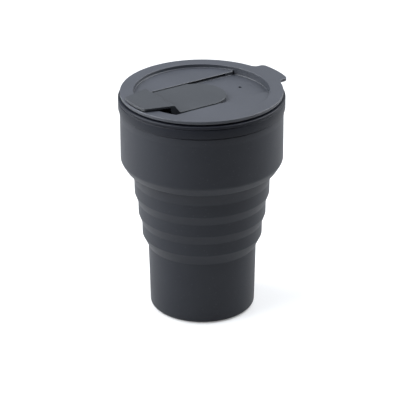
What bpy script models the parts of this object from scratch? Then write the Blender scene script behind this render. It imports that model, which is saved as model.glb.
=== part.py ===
"""Collapsible travel cup, in metres, standing on its base with its axis along Z.

The silicone body is a stack of stiff bands joined by thin webs that turn inside out
when the cup is pushed down. A hard collar and rim ring hold its mouth round, and a
press-in lid carries a slide that covers the sip hole. The sip side faces -Y and the
lid's lift tab faces +Y.
"""
import math

import bmesh
import bpy

GAP = 0.0003
MERGE = 0.00001
CUT_OVERRUN = 0.001
TURN_STEPS = 48

BASE_RADIUS = 0.0294
BASE_TOP_RADIUS = 0.03035
BASE_TOP = 0.0372
BASE_EDGE = 0.0022
BASE_WALL = 0.0021
BASE_FLOOR = 0.0026

RING_RADIUS = 0.03375
RING_STEP = 0.00205
RING_DRAFT = 0.00012
RING_WALL = 0.0014
RING_BOTTOM = 0.0440
RING_HEIGHT = 0.0072
RING_PITCH = 0.0127
WEB_WALL = 0.0010

UPPER_RADIUS = 0.0452
UPPER_INNER = 0.0430
UPPER_BOTTOM = 0.0846
UPPER_FLOOR = 0.0020
UPPER_EDGE = 0.0040
UPPER_WEB_RADIUS = 0.0399
UPPER_THROAT = 0.0386
UPPER_TOP = 0.1189

COLLAR_RADIUS = 0.0461
COLLAR_TOP = 0.1268
COLLAR_WALL = 0.0014
COLLAR_EDGE = 0.0003
FLANGE_THICKNESS = 0.0015
FLANGE_EDGE = 0.0009
RIM_BORE = 0.0410
RIM_SLEEVE = 0.0427
SLEEVE_BOTTOM = 0.1160

LID_RADIUS = 0.0450
LID_BOTTOM = 0.1277
LID_TOP = 0.1296
LID_EDGE = 0.0006
PLATE_WALL = 0.0018
RECESS_RADIUS = 0.0375
RECESS_FLOOR = LID_TOP - 0.0022
SKIRT_RADIUS = 0.0402
SKIRT_BORE = 0.0374
SKIRT_BOTTOM = 0.1185
SEAL_BOTTOM = 0.1215
SEAL_HEIGHT = 0.0026
SEAL_BORE = 0.0390
SEAL_LIP = 0.0006

CHANNEL_RADIUS = 0.0371
CHANNEL_HALF = 0.0174
CHANNEL_FLOOR = LID_TOP - 0.0043
RAIL_DEPTH = 0.0011
RAIL_FLOOR = CHANNEL_FLOOR + 0.0005
RAIL_HEIGHT = 0.0012
RAIL_FRONT = -0.0270
RAIL_REAR = 0.0270
TROUGH_WALL = 0.0008
SIP_Y = -0.0325
SIP_HALF = 0.0070
SIP_END = 0.0022
VENT_Y = 0.0254
VENT_RADIUS = 0.0008

TAB_RADIUS = 0.0506
TAB_HALF = 0.0120
TAB_CORNER = 0.0030
TAB_ROOT = 0.0035
TAB_DROP = 0.0002

SLIDER_HALF = 0.0159
SLIDER_REAR = 0.0130
SLIDER_REAR_ARC = 0.0160
RAMP_FOOT = -0.0240
RAMP_HEAD = -0.0270
RAMP_FRONT = -0.0286
NOSE_TOP = LID_TOP + 0.0020
NOSE_THICKNESS = 0.0015
NOSE_ROOT_HALF = 0.01475
NOSE_TIP_HALF = 0.0101
NOSE_RADIUS = 0.0445
TONGUE_HALF = CHANNEL_HALF + RAIL_DEPTH - 0.0004
TONGUE_FRONT = -0.0200
TONGUE_REAR = 0.0020
PAD_END = 0.0035
PAD_HALF = 0.0086
PAD_THICKNESS = 0.0017
BOSS_STEP = 0.0012
BOSS_SUNK = 0.0005

SILICONE = ("silicone", (0.030, 0.033, 0.042), 0.62)
SEAL_RUBBER = ("seal_rubber", (0.012, 0.012, 0.014), 0.55)
LID_PLASTIC = ("lid_plastic", (0.050, 0.053, 0.064), 0.48)
COLLAR_PLASTIC = ("collar_plastic", (0.026, 0.028, 0.034), 0.45)


def clear_scene():
    for obj in list(bpy.data.objects):
        bpy.data.objects.remove(obj, do_unlink=True)


def new_collection(name):
    collection = bpy.data.collections.new(name)
    bpy.context.scene.collection.children.link(collection)
    return collection


def material(spec):
    name, colour, roughness = spec
    made = bpy.data.materials.get(name)
    if made is None:
        made = bpy.data.materials.new(name)
        made.use_nodes = True
        shader = made.node_tree.nodes["Principled BSDF"]
        shader.inputs["Base Color"].default_value = (*colour, 1.0)
        shader.inputs["Roughness"].default_value = roughness
    return made


def arc(centre, radius, start, end, steps):
    """Points of an arc in degrees, with both of its ends."""
    points = []
    for step in range(steps + 1):
        angle = math.radians(start + (end - start) * step / steps)
        x = centre[0] + radius * math.cos(angle)
        y = centre[1] + radius * math.sin(angle)
        points.append((x, y))
    return points


def turned(name, profile, closed=True):
    """A body turned about Z from (radius, height) points, down its outer side first."""
    shape = bmesh.new()
    verts = [shape.verts.new((radius, 0, height)) for radius, height in profile]
    for first, second in zip(verts, verts[1:]):
        shape.edges.new((first, second))
    if closed:
        shape.edges.new((verts[-1], verts[0]))
    mesh = bpy.data.meshes.new(name)
    shape.to_mesh(mesh)
    shape.free()
    obj = bpy.data.objects.new(name, mesh)
    bpy.context.scene.collection.objects.link(obj)
    screw = obj.modifiers.new("turn", "SCREW")
    screw.steps = TURN_STEPS
    screw.render_steps = TURN_STEPS
    screw.use_merge_vertices = True
    screw.merge_threshold = MERGE
    screw.use_smooth_shade = False
    return obj


def plate(name, outline, bottom, top):
    """A flat solid between two heights, from a closed outline of (x, y) points."""
    curve = bpy.data.curves.new(name, "CURVE")
    curve.dimensions = "2D"
    curve.fill_mode = "BOTH"
    curve.extrude = (top - bottom) / 2
    spline = curve.splines.new("POLY")
    spline.points.add(len(outline) - 1)
    for point, (x, y) in zip(spline.points, outline):
        point.co = (x, y, 0, 1)
    spline.use_cyclic_u = True
    guide = bpy.data.objects.new(name, curve)
    bpy.context.scene.collection.objects.link(guide)
    guide.location.z = (top + bottom) / 2
    return as_mesh(guide)


def as_mesh(guide):
    name = guide.name
    bpy.context.view_layer.update()
    evaluated = guide.evaluated_get(bpy.context.evaluated_depsgraph_get())
    mesh = bpy.data.meshes.new_from_object(evaluated)
    shape = bmesh.new()
    shape.from_mesh(mesh)
    bmesh.ops.remove_doubles(shape, verts=shape.verts, dist=MERGE)
    bmesh.ops.recalc_face_normals(shape, faces=shape.faces)
    shape.to_mesh(mesh)
    shape.free()
    obj = bpy.data.objects.new(name, mesh)
    obj.matrix_world = guide.matrix_world
    bpy.data.objects.remove(guide, do_unlink=True)
    bpy.context.scene.collection.objects.link(obj)
    obj.name = name
    return obj


def prism(name, outline, half_width):
    """A solid along X, from a closed outline of (y, z) points."""
    obj = plate(name, outline, -half_width, half_width)
    obj.location = (0, 0, 0)
    obj.rotation_euler = (math.pi / 2, 0, math.pi / 2)
    return obj


def block(name, low, high):
    bpy.ops.mesh.primitive_cube_add(size=1)
    obj = bpy.context.object
    obj.name = name
    obj.location = [(a + b) / 2 for a, b in zip(low, high)]
    obj.scale = [b - a for a, b in zip(low, high)]
    bpy.context.view_layer.update()
    bpy.ops.object.transform_apply(location=False, rotation=False, scale=True)
    return obj


def cylinder(name, radius, bottom, top, steps=TURN_STEPS, centre=(0, 0)):
    height = top - bottom
    place = (*centre, bottom + height / 2)
    bpy.ops.mesh.primitive_cylinder_add(vertices=steps, radius=radius, depth=height, location=place)
    obj = bpy.context.object
    obj.name = name
    return obj


def file_under(obj, collection):
    for old in list(obj.users_collection):
        old.objects.unlink(obj)
    collection.objects.link(obj)


def combine(obj, other, operation):
    """Cut, join or intersect with another object, which becomes a hidden cutter."""
    step = obj.modifiers.new(other.name, "BOOLEAN")
    step.operation = operation
    step.solver = "EXACT"
    step.object = other
    other.hide_render = True
    other.display_type = "WIRE"
    other.hide_set(True)
    file_under(other, CUTTERS)


def finish(obj, spec, parent=None, smooth=True):
    obj.data.materials.clear()
    obj.data.materials.append(material(spec))
    if smooth:
        obj.data.shade_smooth()
        obj.data.set_sharp_from_angle(angle=math.radians(35))
        for step in obj.modifiers:
            if step.type == "SCREW":
                step.use_smooth_shade = True
    file_under(obj, PARTS)
    if parent is not None:
        bpy.context.view_layer.update()
        placed = obj.matrix_world.copy()
        obj.parent = parent
        obj.matrix_world = placed


def ring_radius(index):
    return RING_RADIUS + index * RING_STEP


def ring_bottom(index):
    return RING_BOTTOM + index * RING_PITCH


def make_base_section():
    edge = (BASE_RADIUS - BASE_EDGE, BASE_EDGE)
    inner_top = BASE_TOP_RADIUS - BASE_WALL
    inner_bottom = BASE_RADIUS - BASE_WALL
    inner_edge = (inner_bottom - BASE_EDGE, BASE_FLOOR + BASE_EDGE)
    profile = [(0, BASE_FLOOR)]
    profile += arc(inner_edge, BASE_EDGE, -90, 0, 3)
    profile += [(inner_top, BASE_TOP), (BASE_TOP_RADIUS, BASE_TOP)]
    profile += arc(edge, BASE_EDGE, 0, -90, 4)
    profile += [(0, 0)]
    section = turned("base_section", profile, closed=False)
    finish(section, SILICONE)
    return section


def make_fold_ring(name, index):
    top = ring_bottom(index) + RING_HEIGHT
    outer = ring_radius(index)
    inner = outer - RING_DRAFT - RING_WALL
    profile = [(outer, top), (outer - RING_DRAFT, ring_bottom(index))]
    profile += [(inner, ring_bottom(index)), (inner, top)]
    ring = turned(name, profile)
    finish(ring, SILICONE)


def make_web(name, upper_end, lower_end):
    """A thin sloping wall between two bands, each given by its outer (radius, height)."""
    top = upper_end[1] - GAP
    bottom = lower_end[1] + GAP
    profile = [(upper_end[0], top), (lower_end[0], bottom)]
    profile += [(lower_end[0] - WEB_WALL, bottom), (upper_end[0] - WEB_WALL, top)]
    web = turned(name, profile)
    finish(web, SILICONE)


def make_webs():
    ring_top = RING_BOTTOM + RING_HEIGHT
    lowest = (ring_radius(0) - RING_DRAFT, RING_BOTTOM)
    make_web("web_base", lowest, (BASE_TOP_RADIUS, BASE_TOP))
    for index, name in enumerate(("web_lower", "web_middle")):
        above = (ring_radius(index + 1) - RING_DRAFT, ring_bottom(index + 1))
        below = (ring_radius(index), ring_top + index * RING_PITCH)
        make_web(name, above, below)
    shoulder = (UPPER_WEB_RADIUS, UPPER_BOTTOM)
    make_web("web_upper", shoulder, (ring_radius(2), ring_top + 2 * RING_PITCH))


def make_upper_section():
    lip = COLLAR_TOP - FLANGE_THICKNESS - GAP
    lip_radius = COLLAR_RADIUS - COLLAR_WALL - GAP
    edge = (UPPER_RADIUS - UPPER_EDGE, UPPER_BOTTOM + UPPER_EDGE)
    floor = UPPER_BOTTOM + UPPER_FLOOR
    bend = UPPER_EDGE - UPPER_FLOOR
    profile = [(lip_radius, lip), (lip_radius, UPPER_TOP), (UPPER_RADIUS, UPPER_TOP)]
    profile += arc(edge, UPPER_EDGE, 0, -90, 5)
    profile += [(UPPER_THROAT, UPPER_BOTTOM), (UPPER_THROAT, floor)]
    profile += arc((UPPER_INNER - bend, floor + bend), bend, -90, 0, 3)
    profile += [(UPPER_INNER, lip)]
    section = turned("upper_section", profile)
    finish(section, SILICONE)


def make_collar_band():
    top = COLLAR_TOP - FLANGE_THICKNESS - GAP
    bottom = UPPER_TOP + GAP
    inner = COLLAR_RADIUS - COLLAR_WALL
    face = COLLAR_RADIUS - COLLAR_EDGE
    profile = [(inner, top), (face, top), (COLLAR_RADIUS, top - COLLAR_EDGE)]
    profile += [(COLLAR_RADIUS, bottom + COLLAR_EDGE), (face, bottom), (inner, bottom)]
    band = turned("collar_band", profile)
    finish(band, COLLAR_PLASTIC)


def make_rim_ring():
    flange = COLLAR_TOP - FLANGE_THICKNESS
    edge = (COLLAR_RADIUS - FLANGE_EDGE, COLLAR_TOP - FLANGE_EDGE)
    profile = arc(edge, FLANGE_EDGE, 90, 0, 3)
    profile += [(COLLAR_RADIUS, flange), (RIM_SLEEVE, flange), (RIM_SLEEVE, SLEEVE_BOTTOM)]
    profile += [(RIM_BORE, SLEEVE_BOTTOM), (RIM_BORE, COLLAR_TOP)]
    ring = turned("rim_ring", profile)
    finish(ring, COLLAR_PLASTIC)


def make_lid_blank():
    """The lid's turned form: disc, plug skirt with its seal groove, and hollow underside."""
    edge = (LID_RADIUS - LID_EDGE, LID_TOP - LID_EDGE)
    groove_low = SEAL_BOTTOM - GAP
    groove_high = SEAL_BOTTOM + SEAL_HEIGHT + GAP
    groove = SEAL_BORE - GAP
    profile = [(0, LID_TOP)]
    profile += arc(edge, LID_EDGE, 90, 0, 2)
    profile += [(LID_RADIUS, LID_BOTTOM), (SKIRT_RADIUS, LID_BOTTOM), (SKIRT_RADIUS, groove_high)]
    profile += [(groove, groove_high), (groove, groove_low), (SKIRT_RADIUS, groove_low)]
    profile += [(SKIRT_RADIUS, SKIRT_BOTTOM), (SKIRT_BORE, SKIRT_BOTTOM)]
    profile += [(SKIRT_BORE, CHANNEL_FLOOR - PLATE_WALL), (0, CHANNEL_FLOOR - PLATE_WALL)]
    return turned("lid", profile, closed=False)


def tab_outline():
    """The lift tab: a round outer edge, rounded corners and hollow fillets at its root."""
    root_x = TAB_HALF + TAB_ROOT
    root_y = math.sqrt((LID_RADIUS + TAB_ROOT) ** 2 - root_x ** 2)
    root_angle = math.degrees(math.atan2(root_y, root_x))
    corner_x = TAB_HALF - TAB_CORNER
    corner_y = math.sqrt((TAB_RADIUS - TAB_CORNER) ** 2 - corner_x ** 2)
    corner_angle = math.degrees(math.atan2(corner_y, corner_x))
    overlap = 0.002
    right = [(root_x, root_y - TAB_ROOT - overlap)]
    right += arc((root_x, root_y), TAB_ROOT, root_angle - 180, -180, 4)
    right += arc((corner_x, corner_y), TAB_CORNER, 0, corner_angle, 4)
    crown = arc((0, 0), TAB_RADIUS, corner_angle, 180 - corner_angle, 6)[1:-1]
    left = [(-x, y) for x, y in reversed(right)]
    return right + crown + left


def slot_outline(half_length, end_radius, y):
    centre = half_length - end_radius
    right = arc((centre, y), end_radius, -90, 90, 8)
    left = arc((-centre, y), end_radius, 90, 270, 8)
    return right + left


def cut_underside(lid):
    """Hollow the plate under the side segments, which leaves the channel's own trough."""
    bore = cylinder("segment_hollows", SKIRT_BORE - GAP, SKIRT_BOTTOM, RECESS_FLOOR - PLATE_WALL)
    width = CHANNEL_HALF + RAIL_DEPTH + TROUGH_WALL
    low = (-width, -LID_RADIUS, SKIRT_BOTTOM - CUT_OVERRUN)
    trough = block("trough", low, (width, LID_RADIUS, LID_TOP))
    combine(bore, trough, "DIFFERENCE")
    combine(lid, bore, "DIFFERENCE")


def cut_channel(lid):
    over = LID_TOP + CUT_OVERRUN
    recess = cylinder("recess_cutter", RECESS_RADIUS, RECESS_FLOOR, over)
    combine(lid, recess, "DIFFERENCE")
    channel = cylinder("channel_cutter", CHANNEL_RADIUS, CHANNEL_FLOOR, over)
    low = (-CHANNEL_HALF, -LID_RADIUS, CHANNEL_FLOOR - CUT_OVERRUN)
    sides = block("channel_sides", low, (CHANNEL_HALF, LID_RADIUS, over + CUT_OVERRUN))
    combine(channel, sides, "INTERSECT")
    combine(lid, channel, "DIFFERENCE")
    rail = CHANNEL_HALF + RAIL_DEPTH
    low = (-rail, RAIL_FRONT, RAIL_FLOOR)
    high = (rail, RAIL_REAR, RAIL_FLOOR + RAIL_HEIGHT)
    combine(lid, block("rail_cutter", low, high), "DIFFERENCE")


def cut_holes(lid):
    below = CHANNEL_FLOOR - PLATE_WALL - CUT_OVERRUN
    above = CHANNEL_FLOOR + CUT_OVERRUN
    sip = plate("sip_cutter", slot_outline(SIP_HALF, SIP_END, SIP_Y), below, above)
    combine(lid, sip, "DIFFERENCE")
    vent = cylinder("vent_cutter", VENT_RADIUS, below, above, steps=12, centre=(0, VENT_Y))
    combine(lid, vent, "DIFFERENCE")


def make_lid():
    lid = make_lid_blank()
    tab = plate("tab", tab_outline(), LID_BOTTOM, LID_TOP - TAB_DROP)
    combine(lid, tab, "UNION")
    cut_underside(lid)
    cut_channel(lid)
    cut_holes(lid)
    finish(lid, LID_PLASTIC)
    return lid


def make_lid_seal(lid):
    """A soft ring with two lips that sits in the skirt's groove."""
    crest = RIM_BORE - GAP
    waist = crest - SEAL_LIP
    top = SEAL_BOTTOM + SEAL_HEIGHT
    inward = SEAL_HEIGHT / 5
    profile = [(SEAL_BORE, top), (waist, top), (crest, top - inward)]
    profile += [(waist, top - SEAL_HEIGHT / 2), (crest, SEAL_BOTTOM + inward)]
    profile += [(waist, SEAL_BOTTOM), (SEAL_BORE, SEAL_BOTTOM)]
    seal = turned("lid_seal", profile)
    finish(seal, SEAL_RUBBER, parent=lid)


def body_outline():
    """The slider's flat body: straight sides and a rounded rear end."""
    centre_y = SLIDER_REAR - SLIDER_REAR_ARC
    reach = math.degrees(math.acos(SLIDER_HALF / SLIDER_REAR_ARC))
    rear = arc((0, centre_y), SLIDER_REAR_ARC, reach, 180 - reach, 10)
    return [(-SLIDER_HALF, RAMP_FOOT), (SLIDER_HALF, RAMP_FOOT)] + rear


def nose_outline():
    """The slider's raised nose: it narrows towards a tip that follows the lid's edge."""
    reach = math.degrees(math.asin(NOSE_TIP_HALF / NOSE_RADIUS))
    tip = arc((0, 0), NOSE_RADIUS, 270 - reach, 270 + reach, 8)
    root = RAMP_HEAD + GAP
    return [(NOSE_ROOT_HALF, root), (-NOSE_ROOT_HALF, root)] + tip


def ramp_outline(floor):
    """The riser between body and nose, as (y, z) points, with its ends sunk into both."""
    sunk = GAP
    rear = RAMP_FOOT + CUT_OVERRUN
    outline = [(rear, floor + sunk), (rear, RECESS_FLOOR - sunk)]
    outline += [(RAMP_FOOT + sunk, RECESS_FLOOR - sunk), (RAMP_HEAD, NOSE_TOP - sunk)]
    outline += [(RAMP_FRONT, NOSE_TOP - sunk), (RAMP_FRONT, RECESS_FLOOR)]
    outline += [(RAMP_HEAD, floor + sunk)]
    return outline


def make_slider(lid):
    floor = CHANNEL_FLOOR + GAP
    under = NOSE_TOP - NOSE_THICKNESS
    slider = plate("slider", body_outline(), floor, RECESS_FLOOR)
    ramp = prism("ramp", ramp_outline(floor), NOSE_ROOT_HALF - GAP)
    combine(slider, ramp, "UNION")
    combine(slider, plate("nose", nose_outline(), under, NOSE_TOP), "UNION")
    low = (-TONGUE_HALF, TONGUE_FRONT, RAIL_FLOOR + GAP)
    high = (TONGUE_HALF, TONGUE_REAR, RAIL_FLOOR + RAIL_HEIGHT - GAP)
    combine(slider, block("tongues", low, high), "UNION")
    boss_outline = slot_outline(PAD_HALF - BOSS_STEP, PAD_END - BOSS_STEP, SIP_Y)
    boss_bottom = floor + PAD_THICKNESS + GAP
    combine(slider, plate("boss", boss_outline, boss_bottom, under + BOSS_SUNK), "UNION")
    finish(slider, LID_PLASTIC, parent=lid, smooth=False)
    return slider


def make_slider_seal(slider):
    floor = CHANNEL_FLOOR + GAP
    outline = slot_outline(PAD_HALF, PAD_END, SIP_Y)
    pad = plate("slider_seal", outline, floor, floor + PAD_THICKNESS)
    finish(pad, SEAL_RUBBER, parent=slider)


clear_scene()
PARTS = new_collection("collapsible_travel_cup")
CUTTERS = new_collection("cutters")
make_base_section()
for ring_index, ring_name in enumerate(("fold_ring_lower", "fold_ring_middle", "fold_ring_upper")):
    make_fold_ring(ring_name, ring_index)
make_webs()
make_upper_section()
make_collar_band()
make_rim_ring()
cup_lid = make_lid()
make_lid_seal(cup_lid)
cup_slider = make_slider(cup_lid)
make_slider_seal(cup_slider)
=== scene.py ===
"""The looks of the collapsible travel cup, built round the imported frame, in metres.

Z is the cup's axis, the sip side faces -Y and the lid's lift tab faces +Y.
"""
import math

import bmesh
import bpy
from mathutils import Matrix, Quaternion, Vector


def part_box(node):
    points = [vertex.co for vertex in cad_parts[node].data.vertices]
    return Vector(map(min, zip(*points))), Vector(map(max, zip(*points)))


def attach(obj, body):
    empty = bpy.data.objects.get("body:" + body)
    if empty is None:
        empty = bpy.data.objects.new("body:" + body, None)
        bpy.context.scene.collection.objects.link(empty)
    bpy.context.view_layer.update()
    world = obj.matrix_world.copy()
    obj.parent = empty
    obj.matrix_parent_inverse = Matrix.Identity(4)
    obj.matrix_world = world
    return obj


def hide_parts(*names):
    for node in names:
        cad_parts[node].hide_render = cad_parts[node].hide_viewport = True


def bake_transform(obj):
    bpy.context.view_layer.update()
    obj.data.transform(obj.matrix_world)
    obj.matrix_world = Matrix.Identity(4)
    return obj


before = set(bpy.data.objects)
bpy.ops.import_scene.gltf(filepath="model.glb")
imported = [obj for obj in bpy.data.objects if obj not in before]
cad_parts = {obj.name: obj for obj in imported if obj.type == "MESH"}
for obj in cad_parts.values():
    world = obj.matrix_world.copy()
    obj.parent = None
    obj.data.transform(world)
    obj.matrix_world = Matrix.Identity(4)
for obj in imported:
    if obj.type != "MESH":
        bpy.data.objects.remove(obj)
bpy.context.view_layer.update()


# ---- Silicone body -------------------------------------------------------------------
# One matt silicone moulding: a foot, three stiff bands and a wide bowl, joined by thin
# webs that turn inside out when the cup is pushed down. It comes out of a hot two-part
# mould, so the walls are plain, with a small bend at every fold.

TURN_STEPS = 192
WELD = 0.000002
LONGEST_BEND = 0.48
BAND_WALL = 0.0014
BAND_DRAFT = 0.00012
FOLD_BEND = 0.0007
WEB_LIFT = 0.0004
WEB_STEP = 0.0007
WEB_MARGIN = 0.0010
FOOT_EDGE = 0.0024
FOOT_LEAN = 0.00095
FOOT_WALL = 0.0021
FOOT_FLOOR = 0.0026
BOWL_WALL = 0.0022
BOWL_BEVEL = (0.0030, 0.0050)
BOWL_BEVEL_BENDS = (0.0014, 0.0036)
BOWL_FLARE = (0.00045, 0.0045)
BOWL_FLARE_BEND = 0.0040
BOWL_FLOOR = 0.0020
BOWL_CORNER = 0.0022
SHELF_LIFT = 0.0003
SHELF_BEND = 0.0007
LIP_STEP = 0.0008
LIP_ROOT_BEND = 0.0001
LIP_BEND = 0.0003
THROAT = 0.0386
THROAT_BEND = 0.0006
WEB_TOP = 0.0399
WEB_TOP_BEND = 0.0005

foot_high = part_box("base_section")[1]
bands = [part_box("fold_ring_lower"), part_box("fold_ring_middle"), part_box("fold_ring_upper")]
bowl_low, bowl_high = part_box("upper_section")
bowl_radius = bowl_high[0]
bowl_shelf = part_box("collar_band")[0][2] + SHELF_LIFT


def bent(corners, steps=5):
    """A path through (radius, height, bend) corners, with an arc of the given bend at each."""
    path = []
    for index, (radius, height, bend) in enumerate(corners):
        here = Vector((radius, height))
        if bend == 0 or index in (0, len(corners) - 1):
            path.append(here)
            continue
        before = Vector(corners[index - 1][:2]) - here
        after = Vector(corners[index + 1][:2]) - here
        half_angle = before.angle(after) / 2
        longest = min(before.length, after.length) * LONGEST_BEND
        reach = min(bend / math.tan(half_angle), longest)
        round_radius = reach * math.tan(half_angle)
        middle = (before.normalized() + after.normalized()).normalized()
        centre = here + middle * (round_radius / math.sin(half_angle))
        first = here + before.normalized() * reach - centre
        last = here + after.normalized() * reach - centre
        turn = first.angle_signed(last)
        for step in range(steps + 1):
            angle = -turn * step / steps
            spun = Vector((first.x * math.cos(angle) - first.y * math.sin(angle),
                           first.x * math.sin(angle) + first.y * math.cos(angle)))
            path.append(centre + spun)
    return path


def split_long(path, low, high):
    """Extra points on the stretches between two heights, so that a web can curl smoothly."""
    fine = [path[0]]
    for before, after in zip(path, path[1:]):
        inside = min(before.y, after.y) >= low and max(before.y, after.y) <= high
        parts = math.ceil((after - before).length / WEB_STEP) if inside else 1
        fine += [before.lerp(after, part / parts) for part in range(1, parts + 1)]
    return fine


def finished(name, shape):
    """The object made from a closed shape, with its faces turned outwards."""
    bmesh.ops.recalc_face_normals(shape, faces=shape.faces)
    mesh = bpy.data.meshes.new(name)
    shape.to_mesh(mesh)
    shape.free()
    piece = bpy.data.objects.new(name, mesh)
    bpy.context.scene.collection.objects.link(piece)
    return piece


def shade_round(piece, angle=32):
    piece.data.shade_smooth()
    piece.data.set_sharp_from_angle(angle=math.radians(angle))


def turned(name, path, closed=True):
    """A solid turned about the cup's axis; an open path has both ends on the axis."""
    shape = bmesh.new()
    points = [shape.verts.new((p[0], 0, p[1])) for p in path]
    edges = [shape.edges.new(pair) for pair in zip(points, points[1:])]
    if closed:
        edges.append(shape.edges.new((points[-1], points[0])))
    bmesh.ops.spin(shape, geom=points + edges, cent=(0, 0, 0), axis=(0, 0, 1),
                   angle=math.tau, steps=TURN_STEPS, use_merge=True)
    bmesh.ops.remove_doubles(shape, verts=shape.verts, dist=WELD)
    piece = finished(name, shape)
    shade_round(piece)
    return piece


GRAIN_DETAIL = 3.0
CLOUD_DETAIL = 4.0
NOISE_ROUGHNESS = 0.55
SPECKS_PER_METRE = 420
SPECK_REACH = (0.05, 0.11)
DUST_COLOUR = (0.30, 0.31, 0.33)
CLOUD_SPAN = (0.30, 0.70)
RELIEF_DEPTH = 0.35


def grain_group():
    """Mould texture: a fine height for the bump, a slow cloud of tone and sparse dust specks."""
    group = bpy.data.node_groups.new("mould_grain", "ShaderNodeTree")
    group.interface.new_socket("Grain Size", in_out="INPUT", socket_type="NodeSocketFloat")
    group.interface.new_socket("Cloud Size", in_out="INPUT", socket_type="NodeSocketFloat")
    group.interface.new_socket("Height", in_out="OUTPUT", socket_type="NodeSocketFloat")
    group.interface.new_socket("Cloud", in_out="OUTPUT", socket_type="NodeSocketFloat")
    group.interface.new_socket("Speck", in_out="OUTPUT", socket_type="NodeSocketFloat")
    given = group.nodes.new("NodeGroupInput")
    result = group.nodes.new("NodeGroupOutput")
    place = group.nodes.new("ShaderNodeTexCoord")
    layers = (("Grain Size", "Height", GRAIN_DETAIL), ("Cloud Size", "Cloud", CLOUD_DETAIL))
    for size, output, detail in layers:
        scale = group.nodes.new("ShaderNodeMath")
        scale.operation = "DIVIDE"
        scale.inputs[0].default_value = 1.0
        group.links.new(given.outputs[size], scale.inputs[1])
        noise = group.nodes.new("ShaderNodeTexNoise")
        noise.inputs["Detail"].default_value = detail
        noise.inputs["Roughness"].default_value = NOISE_ROUGHNESS
        group.links.new(place.outputs["Object"], noise.inputs["Vector"])
        group.links.new(scale.outputs[0], noise.inputs["Scale"])
        group.links.new(noise.outputs["Fac"], result.inputs[output])
    speck = group.nodes.new("ShaderNodeTexVoronoi")
    speck.inputs["Scale"].default_value = SPECKS_PER_METRE
    group.links.new(place.outputs["Object"], speck.inputs["Vector"])
    near = group.nodes.new("ShaderNodeMapRange")
    near.inputs["From Min"].default_value = SPECK_REACH[0]
    near.inputs["From Max"].default_value = SPECK_REACH[1]
    near.inputs["To Min"].default_value = 1.0
    near.inputs["To Max"].default_value = 0.0
    group.links.new(speck.outputs["Distance"], near.inputs["Value"])
    group.links.new(near.outputs["Result"], result.inputs["Speck"])
    return group


mould_grain = grain_group()


def moulded_finish(name, dark, light, gloss, grain, cloud, bump, dust=0.0):
    """A moulded surface whose colour and roughness drift slightly, over a fine grain."""
    made = bpy.data.materials.new(name)
    made.use_nodes = True
    tree = made.node_tree
    shader = tree.nodes["Principled BSDF"]
    texture = tree.nodes.new("ShaderNodeGroup")
    texture.node_tree = mould_grain
    texture.inputs["Grain Size"].default_value = grain
    texture.inputs["Cloud Size"].default_value = cloud
    colour = tree.nodes.new("ShaderNodeValToRGB")
    for stop, place, tone in zip(colour.color_ramp.elements, CLOUD_SPAN, (dark, light)):
        stop.position = place
        stop.color = (*tone, 1)
    tree.links.new(texture.outputs["Cloud"], colour.inputs["Fac"])
    base = colour.outputs["Color"]
    if dust > 0:
        dusty = tree.nodes.new("ShaderNodeMix")
        dusty.data_type = "RGBA"
        dusty.inputs["B"].default_value = (*DUST_COLOUR, 1)
        amount = tree.nodes.new("ShaderNodeMath")
        amount.operation = "MULTIPLY"
        amount.inputs[1].default_value = dust
        tree.links.new(texture.outputs["Speck"], amount.inputs[0])
        tree.links.new(amount.outputs[0], dusty.inputs["Factor"])
        tree.links.new(base, dusty.inputs["A"])
        base = dusty.outputs["Result"]
    tree.links.new(base, shader.inputs["Base Color"])
    rough = tree.nodes.new("ShaderNodeMapRange")
    rough.inputs["To Min"].default_value = gloss[0]
    rough.inputs["To Max"].default_value = gloss[1]
    tree.links.new(texture.outputs["Cloud"], rough.inputs["Value"])
    tree.links.new(rough.outputs["Result"], shader.inputs["Roughness"])
    relief = tree.nodes.new("ShaderNodeBump")
    relief.inputs["Strength"].default_value = bump
    relief.inputs["Distance"].default_value = grain * RELIEF_DEPTH
    tree.links.new(texture.outputs["Height"], relief.inputs["Height"])
    tree.links.new(relief.outputs["Normal"], shader.inputs["Normal"])
    return made


def wear(piece, finish):
    piece.data.materials.clear()
    piece.data.materials.append(finish)


silicone = moulded_finish("silicone", (0.0153, 0.0171, 0.0230), (0.0185, 0.0207, 0.0266),
                          gloss=(0.50, 0.62), grain=0.00022, cloud=0.016, bump=0.35, dust=0.10)
silicone_shader = silicone.node_tree.nodes["Principled BSDF"]
silicone_shader.inputs["IOR"].default_value = 1.43
silicone_shader.inputs["Specular IOR Level"].default_value = 0.30
silicone_shader.inputs["Sheen Weight"].default_value = 0.05
silicone_shader.inputs["Sheen Roughness"].default_value = 0.45


def band_corner(index, top):
    """A band's outer corner, at its top or its bottom edge."""
    low, high = bands[index]
    return (high[0], high[2]) if top else (high[0] - BAND_DRAFT, low[2])


def seam(index):
    """Where two mouldings meet, halfway up a band's plain wall."""
    low, high = bands[index]
    return (high[0] - BAND_DRAFT / 2, (low[2] + high[2]) / 2)


def silicone_part(name, outside, inside, web, replaced, closed=True):
    """A stretch of the moulding between two bands, with extra points along its web."""
    low, high = web
    path = split_long(bent(outside), low - WEB_MARGIN, high + WEB_MARGIN)
    path += split_long(bent(inside), low - WEB_MARGIN, high + 2 * WEB_MARGIN)
    part = turned(name, path, closed)
    wear(part, silicone)
    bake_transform(part)
    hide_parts(*replaced)


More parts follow.
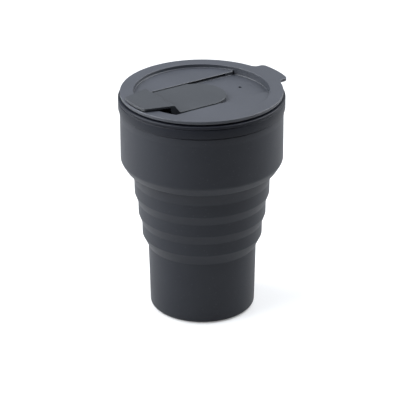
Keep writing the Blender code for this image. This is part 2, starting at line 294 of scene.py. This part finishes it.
def make_foot():
    top = (foot_high[0], foot_high[2])
    low = band_corner(0, top=False)
    mid = seam(0)
    outside = [(0, 0, 0), (top[0] - FOOT_LEAN, 0, FOOT_EDGE), (*top, FOLD_BEND)]
    outside += [(*low, FOLD_BEND), (*mid, 0)]
    inside = [(mid[0] - BAND_WALL, mid[1], 0), (low[0] - BAND_WALL, low[1] + WEB_LIFT, FOLD_BEND)]
    inside += [(top[0] - FOOT_WALL, top[1] + WEB_LIFT, FOLD_BEND)]
    inside += [(top[0] - FOOT_LEAN - FOOT_WALL, FOOT_FLOOR, FOOT_EDGE), (0, FOOT_FLOOR, 0)]
    silicone_part("silicone_foot", outside, inside, (top[1], low[1]),
                  ("base_section", "web_base", "fold_ring_lower"), closed=False)


def make_fold(name, index, replaced):
    start, end = seam(index), seam(index + 1)
    top, low = band_corner(index, top=True), band_corner(index + 1, top=False)
    outside = [(*start, 0), (*top, FOLD_BEND), (*low, FOLD_BEND), (*end, 0)]
    inside = [(end[0] - BAND_WALL, end[1], 0), (low[0] - BAND_WALL, low[1] + WEB_LIFT, FOLD_BEND)]
    inside += [(top[0] - BAND_WALL, top[1] + WEB_LIFT, FOLD_BEND), (start[0] - BAND_WALL, start[1], 0)]
    silicone_part(name, outside, inside, (top[1], low[1]), replaced)


def make_bowl():
    start = seam(2)
    top = band_corner(2, top=True)
    under, lip = bowl_low[2], bowl_high[2]
    neck = bowl_radius - LIP_STEP
    inner = bowl_radius - BOWL_WALL
    floor = under + BOWL_FLOOR
    outside = [(*start, 0), (*top, FOLD_BEND), (WEB_TOP, under, WEB_TOP_BEND)]
    outside += [(bowl_radius - BOWL_BEVEL[0], under, BOWL_BEVEL_BENDS[0])]
    outside += [(bowl_radius, under + BOWL_BEVEL[1], BOWL_BEVEL_BENDS[1])]
    outside += [(bowl_radius, bowl_shelf - BOWL_FLARE[1], BOWL_FLARE_BEND)]
    outside += [(bowl_radius + BOWL_FLARE[0], bowl_shelf, SHELF_BEND)]
    outside += [(neck, bowl_shelf, LIP_ROOT_BEND), (neck, lip, LIP_BEND), (inner, lip, 0)]
    inside = [(inner, floor, BOWL_CORNER), (THROAT, floor, THROAT_BEND)]
    inside += [(top[0] - BAND_WALL, top[1] + WEB_LIFT, FOLD_BEND), (start[0] - BAND_WALL, start[1], 0)]
    silicone_part("silicone_bowl", outside, inside, (top[1], under),
                  ("upper_section", "web_upper"))


make_foot()
make_fold("silicone_lower_fold", 0, ("web_lower", "fold_ring_middle"))
make_fold("silicone_middle_fold", 1, ("web_middle", "fold_ring_upper"))
make_bowl()


# ---- Collar band and rim ring ----------------------------------------------------------
# Two hard polypropylene rings that snap together through the silicone lip: the band goes
# round the outside, and the rim ring covers the lip and lines the bore for the lid.

COLLAR_WALL = 0.0014
COLLAR_LIFT = 0.0005
COLLAR_TOP_BEND = 0.0008
COLLAR_BOTTOM_BEND = 0.0003
HARD_BEND = 0.0002
RIM_GAP = 0.00015
RIM_EDGE = 0.0016
RIM_MOUTH_BEND = 0.0007
RIM_END_BEND = 0.0003
SLEEVE_WALL = 0.0017
SEAL_GAP = 0.0003

collar_finish = moulded_finish("collar_plastic", (0.0080, 0.0093, 0.0140), (0.0100, 0.0115, 0.0166),
                               gloss=(0.40, 0.50), grain=0.00018, cloud=0.020, bump=0.20)
collar_shader = collar_finish.node_tree.nodes["Principled BSDF"]
collar_shader.inputs["Specular IOR Level"].default_value = 0.18


def ride(piece, finish, body, slot_name, *nodes):
    """A rigid piece that moves with one body and stands in for its plain nodes."""
    wear(piece, finish)
    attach(piece, body)
    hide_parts(*nodes)


def make_collar():
    low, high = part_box("collar_band")
    outer, inner = high[0], high[0] - COLLAR_WALL
    bottom, top = low[2] + COLLAR_LIFT, high[2]
    middle = (bottom + top) / 2
    corners = [(inner, middle, 0), (inner, top, HARD_BEND), (outer, top, COLLAR_TOP_BEND)]
    corners += [(outer, bottom, COLLAR_BOTTOM_BEND), (inner, bottom, HARD_BEND), (inner, middle, 0)]
    band = turned("collar_band_shell", bent(corners)[:-1])
    ride(band, collar_finish, "bowl", "collar_plastic", "collar_band")


def make_rim():
    low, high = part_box("rim_ring")
    outer, top, bottom = high[0], high[2], low[2]
    middle = (bottom + top) / 2
    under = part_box("collar_band")[1][2] + RIM_GAP
    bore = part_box("lid_seal")[1][0] + SEAL_GAP
    sleeve = bore + SLEEVE_WALL
    corners = [(bore, middle, 0), (bore, top, RIM_MOUTH_BEND), (outer, top, RIM_EDGE)]
    corners += [(outer, under, HARD_BEND), (sleeve, under, HARD_BEND), (sleeve, bottom, RIM_END_BEND)]
    corners += [(bore, bottom, RIM_END_BEND), (bore, middle, 0)]
    ring = turned("rim_ring_shell", bent(corners)[:-1])
    ride(ring, collar_finish, "bowl", "collar_plastic", "rim_ring")


make_collar()
make_rim()


# ---- Lid -------------------------------------------------------------------------------
# One hard polypropylene moulding: a disc with a lift tab, a recessed middle with a deeper
# channel across it for the slider, and a plug skirt with a groove for the seal.

LID_RADIUS = 0.0450
LID_TOP_EDGE = 0.0004
LID_UNDER_EDGE = 0.0003
DISC_WALL = 0.0019
TAB_HALF = 0.0120
TAB_CORNER = 0.0030
TAB_ROOT = 0.0035
SKIRT_RADIUS = 0.0402
SKIRT_BORE = 0.0374
SKIRT_END_BEND = 0.0005
SKIRT_ROOT_BEND = 0.0008
SKIRT_SUNK = 0.0007
SEAL_BORE = 0.0390
PLATE_WALL = 0.0018
TROUGH_LAP = 0.0002
TROUGH_SUNK = 0.0010
TROUGH_WALL = 0.0008
RECESS_RADIUS = 0.0375
RECESS_DEPTH = 0.0022
RECESS_LIP = 0.0003
RECESS_FILLET = 0.0006
RECESS_STEP = 0.00018
RECESS_BORDER = 0.0011
TIP_RADIUS = 0.0008
CHANNEL_DEPTH = 0.0043
CHANNEL_HALF = 0.0174
CHANNEL_FILLET = 0.0004
CHANNEL_EASE = 0.00025
RAIL_DEPTH = 0.0011
RAIL_LIFT = 0.0005
RAIL_HEIGHT = 0.0012
RAIL_REACH = 0.0270
SIP_Y = -0.0325
SIP_HALF = 0.0070
SIP_END = 0.0022
VENT_Y = 0.0254
VENT_RADIUS = 0.0010
VENT_SIDES = 24
WALL_LAP = 0.00002
SLAB_WELD = 0.0000005
CUT_OVERRUN = 0.0010
CUT_REACH = 0.0500
CUT_DEPTH = 0.0040

lid_low, lid_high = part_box("lid")
lid_top = lid_high[2]
disc_under = lid_top - DISC_WALL
recess_floor = lid_top - RECESS_DEPTH
channel_floor = lid_top - CHANNEL_DEPTH

lid_finish = moulded_finish("lid_plastic", (0.0320, 0.0355, 0.0440), (0.0372, 0.0408, 0.0508),
                            gloss=(0.40, 0.50), grain=0.00020, cloud=0.022, bump=0.25, dust=0.08)


def arc(centre, radius, start, end, steps):
    """Points of an arc in degrees, with both of its ends."""
    points = []
    for step in range(steps + 1):
        angle = math.radians(start + (end - start) * step / steps)
        x, y = centre[0] + radius * math.cos(angle), centre[1] + radius * math.sin(angle)
        points.append(Vector((x, y)))
    return points


def inset(outline, distance):
    """A closed, counter-clockwise outline moved in by a small distance."""
    moved = []
    for index, here in enumerate(outline):
        before = (here - outline[index - 1]).normalized()
        after = (outline[(index + 1) % len(outline)] - here).normalized()
        along = (before + after).normalized()
        stretch = max(along.dot(after), 0.5)
        moved.append(here + Vector((-along.y, along.x)) * (distance / stretch))
    return moved


def skin(shape, rings):
    """Side faces between closed rings of points, each ring following the last."""
    for lower, upper in zip(rings, rings[1:]):
        for index in range(len(lower)):
            after = (index + 1) % len(lower)
            shape.faces.new((lower[index], lower[after], upper[after], upper[index]))


def slab(name, outline, bottom, top, under_edge, top_edge, steps=4):
    """A flat piece with rounded top and bottom edges, from its outline seen from above."""
    turns = [math.pi / 2 * step / steps for step in range(steps + 1)]
    levels = [(under_edge * (1 - math.sin(turn)), bottom + under_edge * (1 - math.cos(turn)))
              for turn in turns]
    levels += [(top_edge * (1 - math.cos(turn)), top - top_edge * (1 - math.sin(turn)))
               for turn in turns]
    shape = bmesh.new()
    rings = []
    for distance, height in levels:
        rings.append([shape.verts.new((p.x, p.y, height)) for p in inset(outline, distance)])
    skin(shape, rings)
    shape.faces.new(list(reversed(rings[0])))
    shape.faces.new(rings[-1])
    bmesh.ops.remove_doubles(shape, verts=shape.verts, dist=SLAB_WELD)
    return finished(name, shape)


def merge(piece, tool, operation):
    """Joins, cuts or crosses a piece with a tool, and takes the tool away."""
    step = piece.modifiers.new("merge", "BOOLEAN")
    step.operation = operation
    step.solver = "EXACT"
    step.object = tool
    graph = bpy.context.evaluated_depsgraph_get()
    graph.update()
    result = bpy.data.meshes.new_from_object(piece.evaluated_get(graph))
    piece.modifiers.clear()
    piece.data = result
    bpy.data.objects.remove(tool, do_unlink=True)


def box_tool(low, high):
    """A plain block for cutting or joining, from its low and high corners."""
    size = Vector(high) - Vector(low)
    shape = bmesh.new()
    bmesh.ops.create_cube(shape, size=1)
    bmesh.ops.scale(shape, vec=size, verts=shape.verts)
    bmesh.ops.translate(shape, vec=(Vector(high) + Vector(low)) / 2, verts=shape.verts)
    return finished("tool", shape)


def slot_outline(half_length, end_radius, y, steps=10):
    """A long hole or pad with round ends, lying across the lid."""
    reach = half_length - end_radius
    return arc((reach, y), end_radius, -90, 90, steps) + arc((-reach, y), end_radius, 90, 270, steps)


def lid_outline():
    """The disc's edge with the lift tab, whose root has hollow fillets."""
    root = Vector((TAB_HALF + TAB_ROOT, 0))
    root.y = math.sqrt((LID_RADIUS + TAB_ROOT) ** 2 - root.x ** 2)
    root_angle = math.degrees(math.atan2(root.y, root.x))
    tab_radius = lid_high[1]
    corner = Vector((TAB_HALF - TAB_CORNER, 0))
    corner.y = math.sqrt((tab_radius - TAB_CORNER) ** 2 - corner.x ** 2)
    corner_angle = math.degrees(math.atan2(corner.y, corner.x))
    right = arc(root, TAB_ROOT, root_angle - 180, -180, 8) + arc(corner, TAB_CORNER, 0, corner_angle, 8)
    crown = arc((0, 0), tab_radius, corner_angle, 180 - corner_angle, 16)[1:-1]
    left = [Vector((-p.x, p.y)) for p in reversed(right)]
    rim = arc((0, 0), LID_RADIUS, 180 - root_angle, 360 + root_angle, 180)[1:-1]
    return right + crown + left + rim


def plug():
    """The skirt below the disc, its seal groove, and the plate under the recess."""
    seal_low, seal_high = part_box("lid_seal")
    groove = SEAL_BORE - SEAL_GAP
    groove_low, groove_high = seal_low[2] - SEAL_GAP, seal_high[2] + SEAL_GAP
    skirt_top, skirt_end = lid_top - SKIRT_SUNK, lid_low[2]
    under = recess_floor - PLATE_WALL
    corners = [(0, skirt_top, 0), (SKIRT_RADIUS, skirt_top, 0)]
    corners += [(SKIRT_RADIUS, groove_high, HARD_BEND), (groove, groove_high, HARD_BEND)]
    corners += [(groove, groove_low, HARD_BEND), (SKIRT_RADIUS, groove_low, HARD_BEND)]
    corners += [(SKIRT_RADIUS, skirt_end, SKIRT_END_BEND), (SKIRT_BORE, skirt_end, SKIRT_END_BEND)]
    corners += [(SKIRT_BORE, under, SKIRT_ROOT_BEND), (0, under, 0)]
    return turned("plug", bent(corners), closed=False)


def hollow_tool(radius, floor, fillet, border=0.0):
    """A round cutter: a filleted foot inside a fine border step, and a flared mouth."""
    over = lid_top + CUT_OVERRUN
    foot = floor + RECESS_STEP if border > 0 else floor
    corners = [(0, floor, 0)]
    if border > 0:
        corners += [(radius - border, floor, 0), (radius - border + RECESS_STEP / 3, foot, 0)]
    corners += [(radius, foot, fillet), (radius, lid_top - RECESS_LIP, 0)]
    path = bent(corners)
    for step in range(1, 6):
        angle = math.pi / 2 * step / 5
        flare = RECESS_LIP * (1 - math.cos(angle))
        path.append(Vector((radius + flare, lid_top - RECESS_LIP * (1 - math.sin(angle)))))
    path += [Vector((radius + RECESS_LIP, over)), Vector((0, over))]
    return turned("hollow", path, closed=False)


def tip_outline():
    """The pocket that rounds a side segment's tip, between the channel and the recess wall."""
    wall = RECESS_RADIUS + WALL_LAP
    inside = CHANNEL_HALF - CUT_OVERRUN
    centre = Vector((CHANNEL_HALF + TIP_RADIUS, 0))
    centre.y = math.sqrt((wall - TIP_RADIUS) ** 2 - centre.x ** 2)
    touch = math.degrees(math.atan2(centre.y, centre.x))
    nook = arc((0, 0), wall, touch, math.degrees(math.acos(inside / wall)), 6)
    tip = arc(centre, TIP_RADIUS, 180, touch, 8)[:-1]
    return nook + [Vector((inside, centre.y))] + tip


def channel_beam():
    """A bar along Y with the channel's section: filleted feet and slightly eased top edges."""
    half, mouth = CHANNEL_HALF, CHANNEL_HALF + CHANNEL_EASE
    right = bent([(0, channel_floor, 0), (half, channel_floor, CHANNEL_FILLET),
                  (half, recess_floor - CHANNEL_EASE, 0), (mouth, recess_floor, 0),
                  (mouth, lid_top + CUT_OVERRUN / 2, 0)])
    left = [Vector((-p.x, p.y)) for p in reversed(right)][:-1]
    section = right + left
    shape = bmesh.new()
    ends = []
    for y in (-CUT_REACH, CUT_REACH):
        ends.append([shape.verts.new((p.x, y, p.y)) for p in section])
    skin(shape, ends)
    shape.faces.new(list(reversed(ends[0])))
    shape.faces.new(ends[1])
    return finished("beam", shape)


def cut_slider_way(lid):
    """The recess, the channel with its rounded segment tips, and the rail grooves."""
    recess = hollow_tool(RECESS_RADIUS, recess_floor, RECESS_FILLET, RECESS_BORDER)
    merge(lid, recess, "DIFFERENCE")
    channel = hollow_tool(RECESS_RADIUS + WALL_LAP, channel_floor, CHANNEL_FILLET)
    merge(channel, channel_beam(), "INTERSECT")
    for x, y in ((1, 1), (-1, 1), (-1, -1), (1, -1)):
        pocket = [Vector((p.x * x, p.y * y)) for p in tip_outline()]
        if x * y < 0:
            pocket.reverse()
        merge(channel, slab("pocket", pocket, channel_floor, lid_top + CUT_OVERRUN / 2, 0, 0), "UNION")
    merge(lid, channel, "DIFFERENCE")
    rail = CHANNEL_HALF + RAIL_DEPTH
    rail_floor = channel_floor + RAIL_LIFT
    rails = box_tool((-rail, -RAIL_REACH, rail_floor), (rail, RAIL_REACH, rail_floor + RAIL_HEIGHT))
    merge(lid, rails, "DIFFERENCE")


def cut_holes(lid):
    below, over = channel_floor - CUT_DEPTH, channel_floor + 1.5 * CUT_OVERRUN
    sip = slab("sip", slot_outline(SIP_HALF, SIP_END, SIP_Y), below, over, 0, 0)
    merge(lid, sip, "DIFFERENCE")
    round_hole = arc((0, VENT_Y), VENT_RADIUS, 0, 360, VENT_SIDES)[:-1]
    merge(lid, slab("vent", round_hole, below, over, 0, 0), "DIFFERENCE")


def even_normals(piece, angle=32):
    """Large flat faces keep flat shading beside their rounded edges."""
    shade_round(piece, angle)
    weigh = piece.modifiers.new("even_normals", "WEIGHTED_NORMAL")
    weigh.mode = "FACE_AREA"
    weigh.keep_sharp = True


def trough_floor():
    """The thicker strip of the plate under the channel and its rail grooves."""
    bottom, top = channel_floor - PLATE_WALL, recess_floor - TROUGH_SUNK
    reach = SKIRT_BORE + TROUGH_LAP
    floor = turned("trough", [(0, bottom), (reach, bottom), (reach, top), (0, top)], closed=False)
    half = CHANNEL_HALF + RAIL_DEPTH + TROUGH_WALL
    strip = box_tool((-half, -CUT_REACH, bottom - CUT_DEPTH), (half, CUT_REACH, top + CUT_DEPTH))
    merge(floor, strip, "INTERSECT")
    return floor


def make_lid():
    lid = slab("lid_shell", lid_outline(), disc_under, lid_top, LID_UNDER_EDGE, LID_TOP_EDGE)
    merge(lid, plug(), "UNION")
    merge(lid, trough_floor(), "UNION")
    cut_slider_way(lid)
    cut_holes(lid)
    even_normals(lid)
    ride(lid, lid_finish, "lid_body", "lid_plastic", "lid")


make_lid()


# ---- Lid seal --------------------------------------------------------------------------
# A soft silicone ring, moulded in one piece and stretched over the end of the skirt into
# its groove. Its two lips press on the rim ring's bore, which holds the lid in place and
# keeps it from leaking.

SEAL_LIP = 0.0006
SEAL_LIP_BEND = 0.0003
SEAL_EDGE_BEND = 0.0002
LIP_PLACE = 0.2

seal_finish = moulded_finish("seal_rubber", (0.016, 0.017, 0.020), (0.021, 0.022, 0.026),
                             gloss=(0.50, 0.62), grain=0.00020, cloud=0.010, bump=0.20)


def make_lid_seal():
    low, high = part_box("lid_seal")
    crest, waist = high[0], high[0] - SEAL_LIP
    bottom, top = low[2], high[2]
    height = top - bottom
    middle = bottom + height * 0.5
    corners = [(SEAL_BORE, middle, 0), (SEAL_BORE, top, SEAL_EDGE_BEND), (waist, top, SEAL_EDGE_BEND)]
    corners += [(crest, top - height * LIP_PLACE, SEAL_LIP_BEND), (waist, middle, SEAL_LIP_BEND)]
    corners += [(crest, bottom + height * LIP_PLACE, SEAL_LIP_BEND), (waist, bottom, SEAL_EDGE_BEND)]
    corners += [(SEAL_BORE, bottom, SEAL_EDGE_BEND), (SEAL_BORE, middle, 0)]
    seal = turned("lid_seal_ring", bent(corners)[:-1])
    ride(seal, seal_finish, "lid_body", "seal_rubber", "lid_seal")


make_lid_seal()


# ---- Slider ----------------------------------------------------------------------------
# The hard polypropylene closure, moulded in one piece: a flat body flush with the recess,
# a ramp, and a raised nose over the sip hole. Its side tongues snap into the channel's
# grooves and run in them, and a boss under the nose holds the soft pad.

SLIDER_HALF = 0.01575
SLIDER_REAR_ARC = 0.0160
SLIDER_CORNER = 0.0026
SLIDER_STEP = 0.00025
SLIDER_EDGE = 0.0003
RAMP_FOOT = -0.0240
RAMP_HEAD = -0.0270
RAMP_FRONT = -0.0286
RAMP_TOE = 0.0002
RAMP_HOLLOW = 0.0022
RAMP_BROW = 0.0013
RAMP_UNDER_BEND = 0.0004
HEEL_BEND = 0.0003
SHOULDER_BEND = 0.0030
SHOULDER_REACH = 0.0005
NOSE_THICKNESS = 0.0015
NOSE_ROOT_HALF = 0.01475
NOSE_ROOT_BEND = 0.0050
NOSE_TIP_HALF = 0.0101
NOSE_CORNER = 0.0016
NOSE_RADIUS = 0.0445
FINE_REACH = 0.0040
TONGUE_GAP = 0.0003
TONGUE_SIDE_GAP = 0.0004
TONGUE_FRONT = -0.0200
TONGUE_REAR = 0.0020
PAD_HALF = 0.0086
PAD_END = 0.0035
BOSS_STEP = 0.0012
BOSS_GAP = 0.0003
BOSS_SUNK = 0.0005
BOSS_EDGE = 0.0001

slider_low, slider_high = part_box("slider")
pad_low, pad_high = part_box("slider_seal")
slider_floor = slider_low[2]
nose_top = slider_high[2]
nose_under = nose_top - NOSE_THICKNESS
slider_rear = slider_high[1]

slider_finish = moulded_finish("slider_plastic", (0.0190, 0.0220, 0.0270), (0.0230, 0.0261, 0.0311),
                               gloss=(0.44, 0.54), grain=0.00020, cloud=0.022, bump=0.25, dust=0.08)


def slider_side():
    """The slider's right-hand edge seen from above, from the nose's tip to the rear."""
    reach = math.degrees(math.asin(NOSE_TIP_HALF / NOSE_RADIUS))
    tip = arc((0, 0), NOSE_RADIUS, 270, 270 + reach, 8)
    turn = math.degrees(math.acos(SLIDER_HALF / SLIDER_REAR_ARC))
    rear = arc((0, slider_rear - SLIDER_REAR_ARC), SLIDER_REAR_ARC, turn, 90, 14)
    corners = [(p.x, p.y, 0) for p in tip[:-2]]
    corners += [(*tip[-1], NOSE_CORNER), (NOSE_ROOT_HALF, RAMP_HEAD, NOSE_ROOT_BEND)]
    corners += [(SLIDER_HALF, RAMP_FOOT + SHOULDER_REACH, SHOULDER_BEND), (*rear[0], SLIDER_CORNER)]
    corners += [(p.x, p.y, 0) for p in rear[3:]]
    side = bent(corners)
    fine = [side[0]]
    for before, after in zip(side, side[1:]):
        sloping = after.y < RAMP_FOOT + FINE_REACH
        parts = math.ceil((after - before).length / SLIDER_STEP) if sloping else 1
        fine += [before.lerp(after, part / parts) for part in range(1, parts + 1)]
    return fine


def level(path, y):
    """The height of a path of (y, height) points, which runs towards the rear."""
    for before, after in zip(path, path[1:]):
        if y <= after.x:
            share = max(0.0, (y - before.x) / (after.x - before.x))
            return before.y + (after.y - before.y) * share
    return path[-1].y


def slider_solid():
    """Body, ramp and nose in one sweep: the plan outline, with a top and an underside."""
    front, rear = -CUT_REACH, slider_rear + CUT_DEPTH
    over = bent([(front, nose_top, 0), (RAMP_HEAD, nose_top, RAMP_BROW),
                 (RAMP_FOOT, recess_floor, RAMP_HOLLOW), (rear, recess_floor, 0)], steps=8)
    under = bent([(front, nose_under, 0), (RAMP_FRONT - RAMP_TOE, nose_under, RAMP_UNDER_BEND),
                  (RAMP_FRONT, recess_floor, RAMP_UNDER_BEND), (RAMP_HEAD, slider_floor, HEEL_BEND),
                  (rear, slider_floor, 0)])
    right = slider_side()
    outline = right + [Vector((-p.x, p.y)) for p in reversed(right[1:-1])]
    shape = bmesh.new()
    rings = []
    turns = [math.pi / 2 * step / 4 for step in range(5)]
    for path, up, order in ((under, 1, turns), (over, -1, turns[::-1])):
        for turn in order:
            ring = inset(outline, SLIDER_EDGE * (1 - math.sin(turn)))
            lift = up * SLIDER_EDGE * (1 - math.cos(turn))
            rings.append([shape.verts.new((p.x, p.y, level(path, o.y) + lift))
                          for p, o in zip(ring, outline)])
    skin(shape, rings)
    count, last = len(outline), len(right) - 1
    for ring in (rings[0], rings[-1]):
        shape.faces.new((ring[0], ring[1], ring[-1]))
        shape.faces.new((ring[last], ring[last + 1], ring[last - 1]))
        for index in range(1, last - 1):
            shape.faces.new((ring[index], ring[index + 1], ring[count - index - 1], ring[count - index]))
    return finished("slider_shell", shape)


def make_slider():
    slider = slider_solid()
    tongue = CHANNEL_HALF + RAIL_DEPTH - TONGUE_SIDE_GAP
    tongue_low = channel_floor + RAIL_LIFT + TONGUE_GAP
    tongue_high = channel_floor + RAIL_LIFT + RAIL_HEIGHT - TONGUE_GAP
    tongues = box_tool((-tongue, TONGUE_FRONT, tongue_low), (tongue, TONGUE_REAR, tongue_high))
    merge(slider, tongues, "UNION")
    boss_outline = slot_outline(PAD_HALF - BOSS_STEP, PAD_END - BOSS_STEP, SIP_Y)
    boss = slab("boss", boss_outline, pad_high[2] + BOSS_GAP, nose_under + BOSS_SUNK, BOSS_EDGE, 0)
    merge(slider, boss, "UNION")
    even_normals(slider)
    ride(slider, slider_finish, "slider_body", "lid_plastic", "slider")


make_slider()


# ---- Slider pad ------------------------------------------------------------------------
# A small pad of the same soft silicone as the lid seal, with round ends, fixed under the
# slider's boss. It covers the sip hole and moves with the slider.

PAD_EDGE = 0.0003


def make_slider_seal():
    outline = slot_outline(PAD_HALF, PAD_END, SIP_Y)
    pad = slab("slider_seal_pad", outline, pad_low[2], pad_high[2], PAD_EDGE, PAD_EDGE)
    shade_round(pad)
    ride(pad, seal_finish, "slider_body", "seal_rubber", "slider_seal")


make_slider_seal()


# ---- Studio ----------------------------------------------------------------------------
# A pale, slightly glossy table top, two large soft lights at the sides, one overhead and
# one behind, and a long lens about a metre and a third away.

CAMERA_AZIMUTH = 57.0
CAMERA_ELEVATION = 25.11
CAMERA_DISTANCE = 1.3606
CAMERA_LENS = 218.4
CAMERA_ROLL = -0.22
AIM_HEIGHT = 0.0627
AIM_SIDE = -0.00115
CAMERA_FAR = 50
FILM_WIDTH = 36
SURROUND = 0.03
TABLE_SIZE = 8.0
TABLE_DROP = 0.0001
TABLE_TONE = (0.61, 0.61, 0.61)
TABLE_ROUGHNESS = 0.12
TABLE_LIFT = 0.25
LAMP_TINT = (0.94, 0.965, 1.0)
LAMP_AIM = 0.06
# Each soft light's turn from the camera, elevation, distance, width, height and power.
SOFT_LIGHTS = {
    "left_light": (-85, 40, 0.52, 0.60, 0.60, 7.3),
    "right_light": (110, 40, 0.55, 0.45, 0.60, 4.1),
    "back_light": (180, 28, 1.30, 2.00, 1.00, 3.0),
    "top_light": (115, 79, 1.10, 1.40, 1.40, 11.3),
}


def direction(azimuth, elevation):
    """The way towards a camera or light, turned from -Y and raised above the table."""
    a, e = math.radians(azimuth), math.radians(elevation)
    return Vector((math.sin(a) * math.cos(e), -math.cos(a) * math.cos(e), math.sin(e)))


def make_table():
    """A plain table top, with a little glow for the eye alone that keeps its white even."""
    bpy.ops.mesh.primitive_plane_add(size=TABLE_SIZE, location=(0, 0, -TABLE_DROP))
    table = bpy.context.object
    table.name = "table"
    finish = bpy.data.materials.new("table_top")
    finish.use_nodes = True
    shader = finish.node_tree.nodes["Principled BSDF"]
    shader.inputs["Base Color"].default_value = (*TABLE_TONE, 1)
    shader.inputs["Roughness"].default_value = TABLE_ROUGHNESS
    shader.inputs["Emission Color"].default_value = (1, 1, 1, 1)
    ray = finish.node_tree.nodes.new("ShaderNodeLightPath")
    lift = finish.node_tree.nodes.new("ShaderNodeMath")
    lift.operation = "MULTIPLY"
    lift.inputs[1].default_value = TABLE_LIFT
    finish.node_tree.links.new(ray.outputs["Is Camera Ray"], lift.inputs[0])
    finish.node_tree.links.new(lift.outputs[0], shader.inputs["Emission Strength"])
    table.data.materials.append(finish)


def soft_light(name, turn, elevation, distance, width, height, power):
    lamp = bpy.data.lights.new(name, "AREA")
    lamp.shape = "RECTANGLE"
    lamp.size, lamp.size_y = width, height
    lamp.energy = power
    lamp.color = LAMP_TINT
    holder = bpy.data.objects.new(name, lamp)
    bpy.context.scene.collection.objects.link(holder)
    away = direction(CAMERA_AZIMUTH + turn, elevation)
    holder.location = away * distance + Vector((0, 0, LAMP_AIM))
    holder.rotation_mode = "QUATERNION"
    holder.rotation_quaternion = away.to_track_quat("Z", "Y")


def make_world():
    """A dim grey surround that lights the cup, and a white backdrop for the eye."""
    world = bpy.data.worlds.new("studio")
    bpy.context.scene.world = world
    world.use_nodes = True
    tree = world.node_tree
    glow = tree.nodes["Background"]
    glow.inputs["Color"].default_value = (1, 1, 1, 1)
    ray = tree.nodes.new("ShaderNodeLightPath")
    strength = tree.nodes.new("ShaderNodeMapRange")
    strength.inputs["To Min"].default_value = SURROUND
    strength.inputs["To Max"].default_value = 1.0
    tree.links.new(ray.outputs["Is Camera Ray"], strength.inputs["Value"])
    tree.links.new(strength.outputs["Result"], glow.inputs["Strength"])


def make_camera():
    lens = bpy.data.cameras.new("camera")
    lens.lens = CAMERA_LENS
    lens.sensor_width = FILM_WIDTH
    lens.clip_end = CAMERA_FAR
    camera = bpy.data.objects.new("camera", lens)
    bpy.context.scene.collection.objects.link(camera)
    back = direction(CAMERA_AZIMUTH, CAMERA_ELEVATION)
    a = math.radians(CAMERA_AZIMUTH)
    side = Vector((math.cos(a), math.sin(a), 0))
    camera.location = back * CAMERA_DISTANCE + side * AIM_SIDE + Vector((0, 0, AIM_HEIGHT))
    camera.rotation_mode = "QUATERNION"
    roll = Quaternion((0, 0, 1), math.radians(CAMERA_ROLL))
    camera.rotation_quaternion = (-back).to_track_quat("-Z", "Y") @ roll
    bpy.context.scene.camera = camera


make_table()
make_world()
for light_name, setting in SOFT_LIGHTS.items():
    soft_light(light_name, *setting)
make_camera()
bpy.context.scene.view_settings.view_transform = "Standard"
